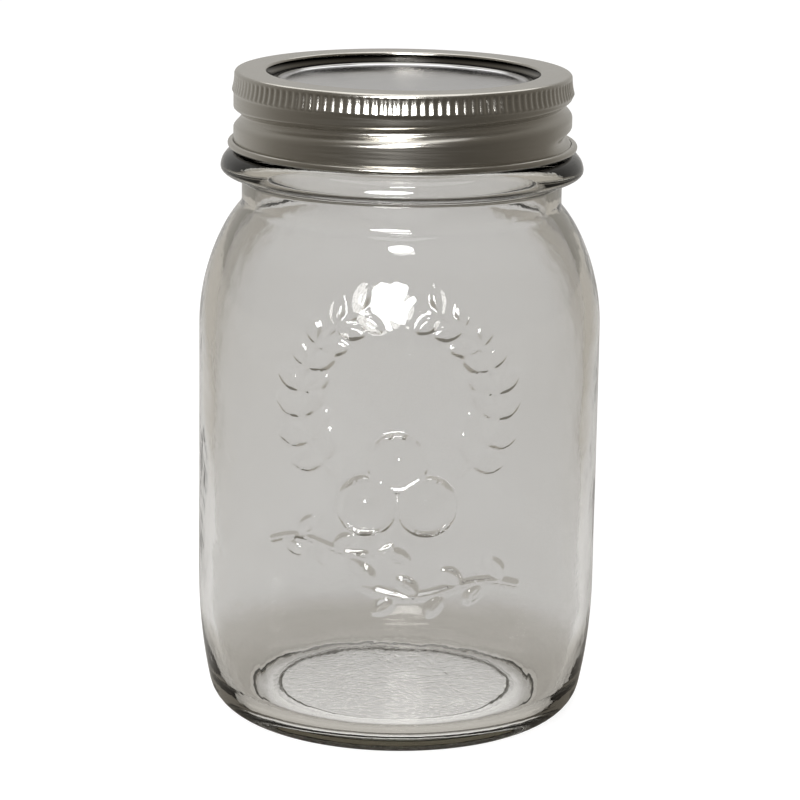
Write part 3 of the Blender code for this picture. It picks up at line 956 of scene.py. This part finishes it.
def floor_material():
    """A pale floor for the camera, with other tones for rays mirrored by metal or bent by glass."""
    material, nodes, links = new_material("floor_white")
    pale = nodes["Principled BSDF"]
    pale.inputs["Base Color"].default_value = (FLOOR_COLOR, FLOOR_COLOR, FLOOR_COLOR, 1)
    pale.inputs["Roughness"].default_value = FLOOR_ROUGHNESS
    pale.inputs["Specular IOR Level"].default_value = 0.0
    pale.inputs["Emission Color"].default_value = (1, 1, 1, 1)
    place = nodes.new("ShaderNodeTexCoord").outputs["Object"]
    path = nodes.new("ShaderNodeLightPath")
    through_glass = path.outputs["Is Transmission Ray"]
    under_punt = limit(nodes, links, length_of(nodes, links, place), *CAUSTIC_EDGE)
    caustic = maths(nodes, links, "MULTIPLY", under_punt, through_glass)
    caustic = maths(nodes, links, "MULTIPLY", caustic, CAUSTIC_GLOW)
    links.new(maths(nodes, links, "ADD", caustic, FLOOR_GLOW), pale.inputs["Emission Strength"])
    mirrored = nodes.new("ShaderNodeEmission")
    links.new(studio_tones(nodes, links, place, FLOOR_TONES), mirrored.inputs["Color"])
    shaded = nodes.new("ShaderNodeEmission")
    shaded.inputs["Color"].default_value = (*SHADE_TONE, 1)
    only_mirrored = maths(nodes, links, "SUBTRACT", path.outputs["Is Glossy Ray"], through_glass)
    only_mirrored.node.use_clamp = True
    bent_in = maths(nodes, links, "MULTIPLY", floor_shade(nodes, links, place), through_glass)
    surface = pale.outputs[0]
    for share, shader in ((only_mirrored, mirrored), (bent_in, shaded)):
        mix = nodes.new("ShaderNodeMixShader")
        links.new(share, mix.inputs[0])
        links.new(surface, mix.inputs[1])
        links.new(shader.outputs[0], mix.inputs[2])
        surface = mix.outputs[0]
    links.new(surface, nodes["Material Output"].inputs["Surface"])
    return material


def make_floor():
    mesh = bpy.data.meshes.new("floor")
    low, high = -FLOOR_HALF, FLOOR_HALF
    mesh.from_pydata([(low, low, 0), (high, low, 0), (high, high, 0), (low, high, 0)], [], [(0, 1, 2, 3)])
    mesh.materials.append(floor_material())
    floor = bpy.data.objects.new("floor", mesh)
    bpy.context.scene.collection.objects.link(floor)


def area_light(name, direction, distance, size, power):
    """A softbox that faces the jar's middle. direction is azimuth from -Y and elevation, in degrees."""
    azimuth, elevation = (math.radians(a) for a in direction)
    level = math.cos(elevation)
    back = Vector((math.sin(azimuth) * level, -math.cos(azimuth) * level, math.sin(elevation)))
    light = bpy.data.lights.new(name, "AREA")
    light.shape = "ELLIPSE"
    light.size, light.size_y = size
    light.energy = power
    lamp = bpy.data.objects.new(name, light)
    lamp.location = Vector((0, 0, CROWN_Z / 2)) + back * distance
    lamp.rotation_euler = (-back).to_track_quat("-Z", "Y").to_euler()
    bpy.context.scene.collection.objects.link(lamp)


def make_world():
    """A studio that is bright behind the jar, grey at its sides and dark behind the camera."""
    world = bpy.data.worlds.new("studio")
    bpy.context.scene.world = world
    world.use_nodes = True
    nodes, links = world.node_tree.nodes, world.node_tree.links
    direction = nodes.new("ShaderNodeTexCoord").outputs["Generated"]
    mix = nodes.new("ShaderNodeMix")
    mix.data_type = "RGBA"
    links.new(nodes.new("ShaderNodeLightPath").outputs["Is Transmission Ray"], mix.inputs[0])
    links.new(studio_tones(nodes, links, direction, ROOM_TONES), mix.inputs[6])
    mix.inputs[7].default_value = (*BACKDROP_TONE, 1)
    links.new(mix.outputs[2], nodes["Background"].inputs["Color"])


def make_camera():
    camera_data = bpy.data.cameras.new("camera")
    camera_data.lens = CAMERA_LENS
    camera_data.sensor_width = CAMERA_SENSOR
    camera_data.shift_x, camera_data.shift_y = CAMERA_SHIFT
    camera = bpy.data.objects.new("camera", camera_data)
    tilt = Matrix.Rotation(math.radians(90 - CAMERA_PITCH), 4, "X")
    roll = Matrix.Rotation(math.radians(CAMERA_ROLL), 4, "Z")
    camera.matrix_world = Matrix.Translation((0, -CAMERA_DISTANCE, CAMERA_HEIGHT)) @ tilt @ roll
    bpy.context.scene.collection.objects.link(camera)
    bpy.context.scene.camera = camera


def main():
    make_glass()
    make_band()
    make_disc()
    make_seal()
    make_floor()
    make_world()
    for name, setting in SOFTBOXES.items():
        area_light(name, *setting)
    make_camera()
    bpy.context.scene.view_settings.view_transform = "Standard"


main()
